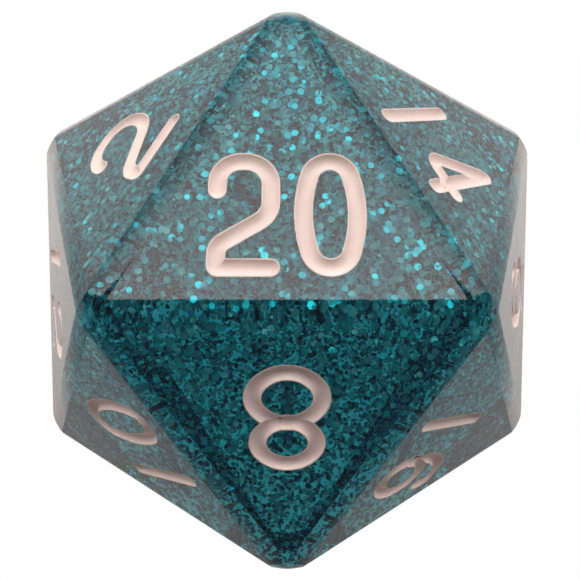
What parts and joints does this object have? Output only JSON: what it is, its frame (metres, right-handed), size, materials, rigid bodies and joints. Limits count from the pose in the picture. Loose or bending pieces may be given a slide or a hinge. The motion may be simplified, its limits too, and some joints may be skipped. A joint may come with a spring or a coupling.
{
  "type": "twenty-sided die",
  "caption": "Icosahedral tabletop die in tinted clear resin with glitter, rounded edges and painted engraved numerals on every face.",
  "frame": {"origin": "middle of face 1, which the die rests on", "axes": "+Z from face 1 up to face 20; +Y from the base edge of the numeral on face 20 towards the corner above it; +X to the right of that numeral"},
  "size_m": [0.0372, 0.0422, 0.035],
  "materials": {
    "resin": "polished tinted clear casting resin",
    "paint": "pale pinkish white acrylic paint, satin",
    "bright_glitter": "bright cyan foil flakes",
    "teal_glitter": "mid teal foil flakes",
    "dark_glitter": "dark teal foil flakes"
  },
  "bodies": {
    "root": {"resin_casting": "resin", "bright_glitter": "bright_glitter", "teal_glitter": "teal_glitter", "dark_glitter": "dark_glitter", "paint_01": "paint", "paint_02": "paint", "paint_03": "paint", "paint_04": "paint", "paint_05": "paint", "paint_06": "paint", "paint_07": "paint", "paint_08": "paint", "paint_09": "paint", "paint_10": "paint", "paint_11": "paint", "paint_12": "paint", "paint_13": "paint", "paint_14": "paint", "paint_15": "paint", "paint_16": "paint", "paint_17": "paint", "paint_18": "paint", "paint_19": "paint", "paint_20": "paint"}
  },
  "joints": []
}
